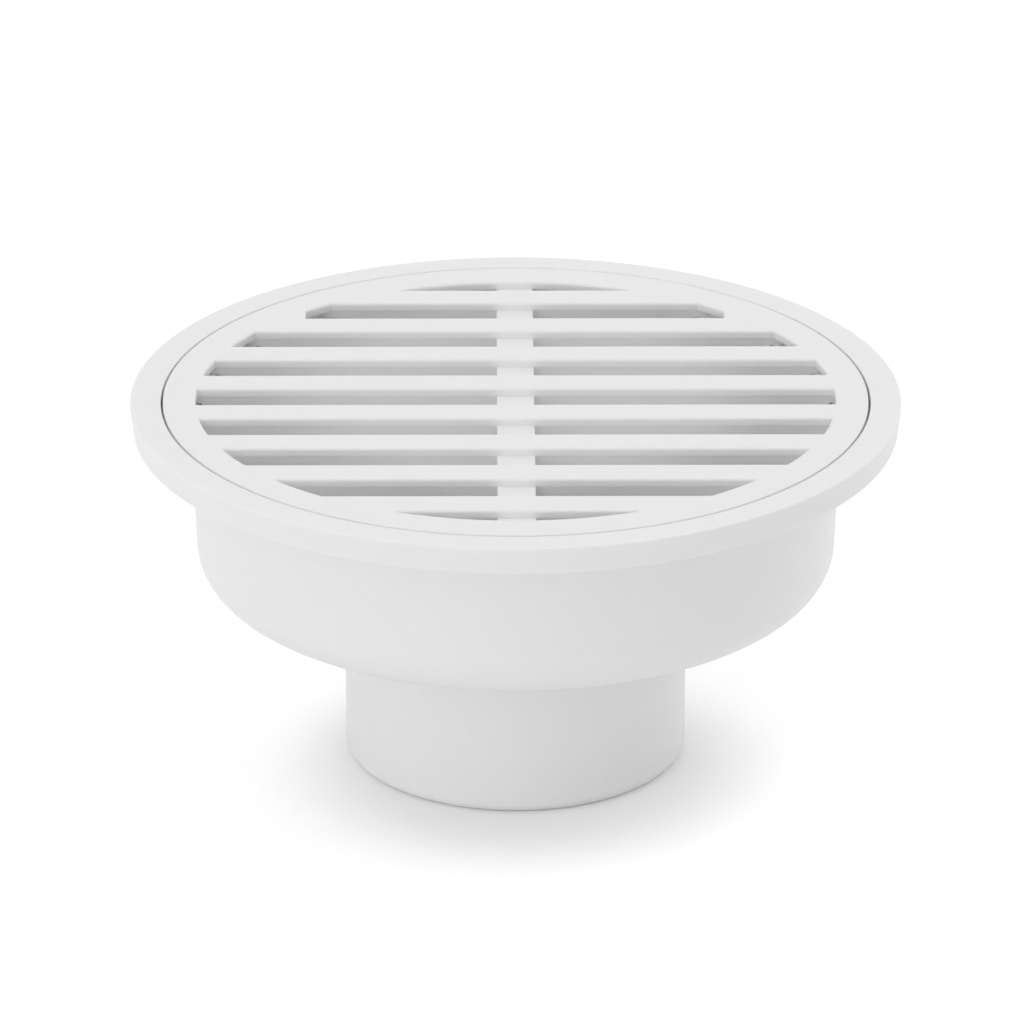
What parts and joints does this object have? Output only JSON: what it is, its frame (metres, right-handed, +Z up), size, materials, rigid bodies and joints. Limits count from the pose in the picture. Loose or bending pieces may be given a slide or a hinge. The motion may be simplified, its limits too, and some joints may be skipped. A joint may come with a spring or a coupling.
{
  "type": "floor trap",
  "caption": "Round white plastic floor drain trap: slotted lift-out grate in a wide flange, shallow bowl with a hidden bell water seal, and a short vertical outlet spigot.",
  "frame": {"origin": "centre of the outlet spigot's end face", "axes": "+Z up along the trap's axis, from the outlet to the grate; the grate's slats run along X and its rib along Y"},
  "size_m": [0.1118, 0.1118, 0.0552],
  "materials": {
    "body_plastic": "moulded white PVC-U, fine satin",
    "grate_plastic": "moulded white PVC-U, fine satin",
    "bell_plastic": "moulded white PVC-U, plain"
  },
  "bodies": {
    "root": {"trap_body": "body_plastic", "grate": "grate_plastic", "seal_bell": "bell_plastic"}
  },
  "joints": []
}
